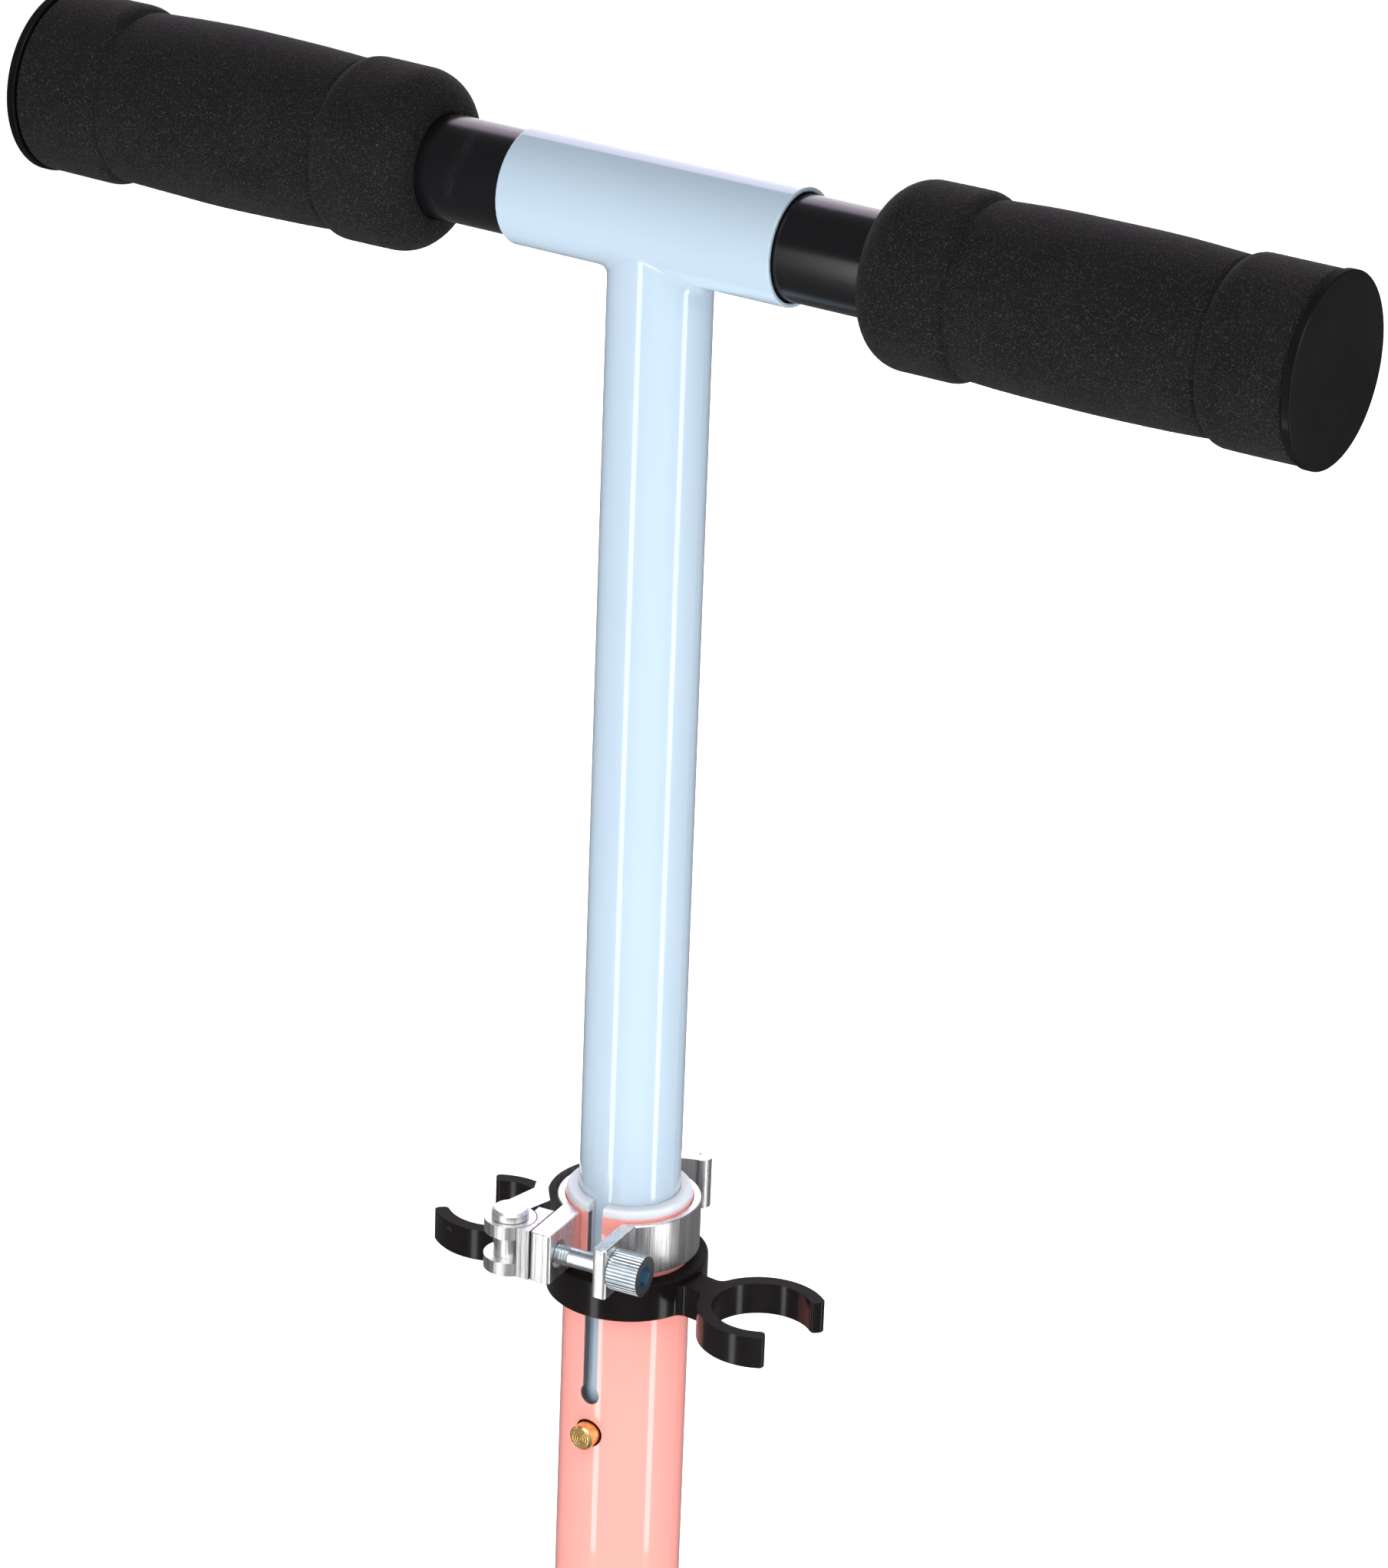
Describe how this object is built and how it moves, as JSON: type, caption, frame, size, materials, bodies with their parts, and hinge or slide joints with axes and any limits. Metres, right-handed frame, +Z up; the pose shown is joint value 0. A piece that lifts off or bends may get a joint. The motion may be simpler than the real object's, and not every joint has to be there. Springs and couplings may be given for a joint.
{
  "type": "scooter steering column",
  "caption": "Height-adjustable scooter T-bar: sliding upper tube, foam grips, snap button, quick-release clamp and grip storage clip.",
  "frame": {"origin": "mouth of the steerer socket at the foot of the lower tube, on the tube's axis", "axes": "+Z up along the tubes, +X along the crossbar towards the right grip, -Y towards the rider"},
  "size_m": [0.3524, 0.0663, 0.5583],
  "materials": {
    "pink_paint": "gloss",
    "blue_paint": "gloss",
    "bare_aluminium": "extruded, lightly brushed",
    "black_tube": "gloss",
    "black_foam": "fine closed-cell foam",
    "black_plastic": "satin",
    "clip_plastic": "gloss",
    "bushing_nylon": "translucent",
    "brass": "turned",
    "zinc_steel": "zinc plated",
    "spring_steel": "plain"
  },
  "bodies": {
    "column": {"lower_tube": "pink_paint", "tube_bushing": "bushing_nylon", "clamp_collar": "bare_aluminium", "clamp_pad": "bare_aluminium", "barrel_nut": "bare_aluminium", "steerer_clamp": "bare_aluminium", "steerer_clamp_screws": "zinc_steel", "steerer_clamp_nuts": "zinc_steel"},
    "t_bar": {"t_bar": "blue_paint", "guide_plug": "bushing_nylon", "height_spring": "spring_steel"},
    "height_button": {"height_button": "brass"},
    "left_grip": {"left_grip_tube": "black_tube", "left_foam_grip": "black_foam", "left_end_cap": "black_plastic", "left_grip_spring": "spring_steel"},
    "right_grip": {"right_grip_tube": "black_tube", "right_foam_grip": "black_foam", "right_end_cap": "black_plastic", "right_grip_spring": "spring_steel"},
    "left_grip_button": {"left_grip_button": "brass"},
    "right_grip_button": {"right_grip_button": "brass"},
    "lever": {"quick_release_lever": "bare_aluminium"},
    "clamp_bolt": {"clamp_bolt": "zinc_steel"},
    "handle_clip": {"handle_clip": "clip_plastic"}
  },
  "joints": [
    {"name": "height_slide", "type": "slide", "parent": "column", "child": "t_bar", "axis": [0, 0, 1], "range_m": [-0.12, 0], "deforming": ["height_button"]},
    {"name": "height_button_press", "type": "slide", "parent": "t_bar", "child": "height_button", "axis": [0, 1, 0], "range_m": [0, 0.0056], "stiffness_N_per_m": 900, "springref_m": -0.002, "deforming": ["height_spring"]},
    {"name": "left_grip_pull", "type": "slide", "parent": "t_bar", "child": "left_grip", "axis": [-1, 0, 0], "range_m": [0, 0.034], "deforming": ["left_grip_button"]},
    {"name": "left_grip_button_press", "type": "slide", "parent": "left_grip", "child": "left_grip_button", "axis": [0, -1, 0], "range_m": [0, 0.0036], "stiffness_N_per_m": 700, "springref_m": -0.002, "deforming": ["left_grip_spring"]},
    {"name": "right_grip_pull", "type": "slide", "parent": "t_bar", "child": "right_grip", "axis": [1, 0, 0], "range_m": [0, 0.034], "deforming": ["right_grip_button"]},
    {"name": "right_grip_button_press", "type": "slide", "parent": "right_grip", "child": "right_grip_button", "axis": [0, -1, 0], "range_m": [0, 0.0036], "stiffness_N_per_m": 700, "springref_m": -0.002, "deforming": ["right_grip_spring"]},
    {"name": "lever_open", "type": "hinge", "parent": "column", "child": "lever", "pos_m": [-0.01722, -0.02778, 0.27275], "axis": [0, 0, 1], "range_deg": [0, 150]},
    {"name": "clamp_bolt_turn", "type": "hinge", "parent": "column", "child": "clamp_bolt", "pos_m": [0.00249, -0.02588, 0.27275], "axis": [0.9954, 0.0958, 0], "continuous": true},
    {"name": "clip_swivel", "type": "hinge", "parent": "column", "child": "handle_clip", "pos_m": [0, 0, 0.259], "axis": [0, 0, 1], "range_deg": [-20, 30]}
  ]
}
